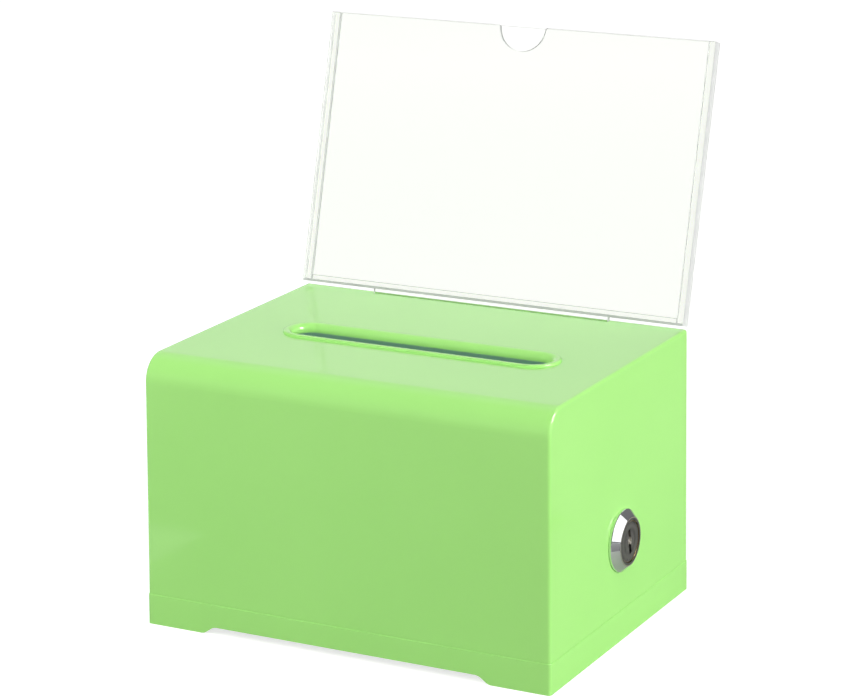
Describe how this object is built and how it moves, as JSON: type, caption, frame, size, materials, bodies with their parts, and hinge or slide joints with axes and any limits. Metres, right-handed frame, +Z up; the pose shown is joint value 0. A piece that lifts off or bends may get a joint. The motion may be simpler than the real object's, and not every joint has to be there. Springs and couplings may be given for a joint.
{
  "type": "donation box",
  "caption": "Small lockable donation box: a moulded cover with a beaded cash slot on a hooked base, a cam lock in its side and a clear leaning sign holder plugged into its top.",
  "frame": {"origin": "middle of the box's footprint, on the table", "axes": "+X towards the lock's side, +Y towards the rear and the sign holder, +Z up"},
  "size_m": [0.1619, 0.145, 0.2003],
  "materials": {
    "green_plastic": "glossy lime-green moulding",
    "clear_plastic": "clear polished sheet",
    "chrome": "bright chrome plate",
    "plug_metal": "turned face, dark",
    "zinc_steel": "zinc plated",
    "brass": "stamped",
    "spring_steel": "drawn wire"
  },
  "bodies": {
    "base_body": {"base": "green_plastic", "keeper": "green_plastic", "keeper_screws": "zinc_steel"},
    "cover_body": {"shell": "green_plastic", "lock_housing": "chrome", "lock_washer": "zinc_steel", "lock_nut": "zinc_steel"},
    "plug_body": {"lock_plug": "plug_metal", "stop_washer": "zinc_steel", "cam": "zinc_steel", "cam_spring_washer": "zinc_steel", "cam_screw": "zinc_steel", "wafer_1": "brass", "wafer_2": "brass", "wafer_3": "brass", "wafer_4": "brass", "wafer_5": "brass", "wafer_spring_1": "spring_steel", "wafer_spring_2": "spring_steel", "wafer_spring_3": "spring_steel", "wafer_spring_4": "spring_steel", "wafer_spring_5": "spring_steel"},
    "sign_body": {"sign_front_sheet": "clear_plastic", "sign_back_sheet": "clear_plastic", "sign_left_spacer": "clear_plastic", "sign_right_spacer": "clear_plastic", "sign_tongue_rail": "clear_plastic"}
  },
  "joints": [
    {"name": "cover_tilt", "type": "hinge", "parent": "base_body", "child": "cover_body", "pos_m": [-0.07927, 0, 0.0112], "axis": [0, -1, 0], "range_deg": [0, 50]},
    {"name": "plug_turn", "type": "hinge", "parent": "cover_body", "child": "plug_body", "pos_m": [0.07882, 0, 0.037], "axis": [-1, 0, 0], "range_deg": [0, 90]},
    {"name": "sign_lift", "type": "slide", "parent": "cover_body", "child": "sign_body", "axis": [0, 0.2588, 0.9659], "range_m": [0, 0.03]}
  ]
}
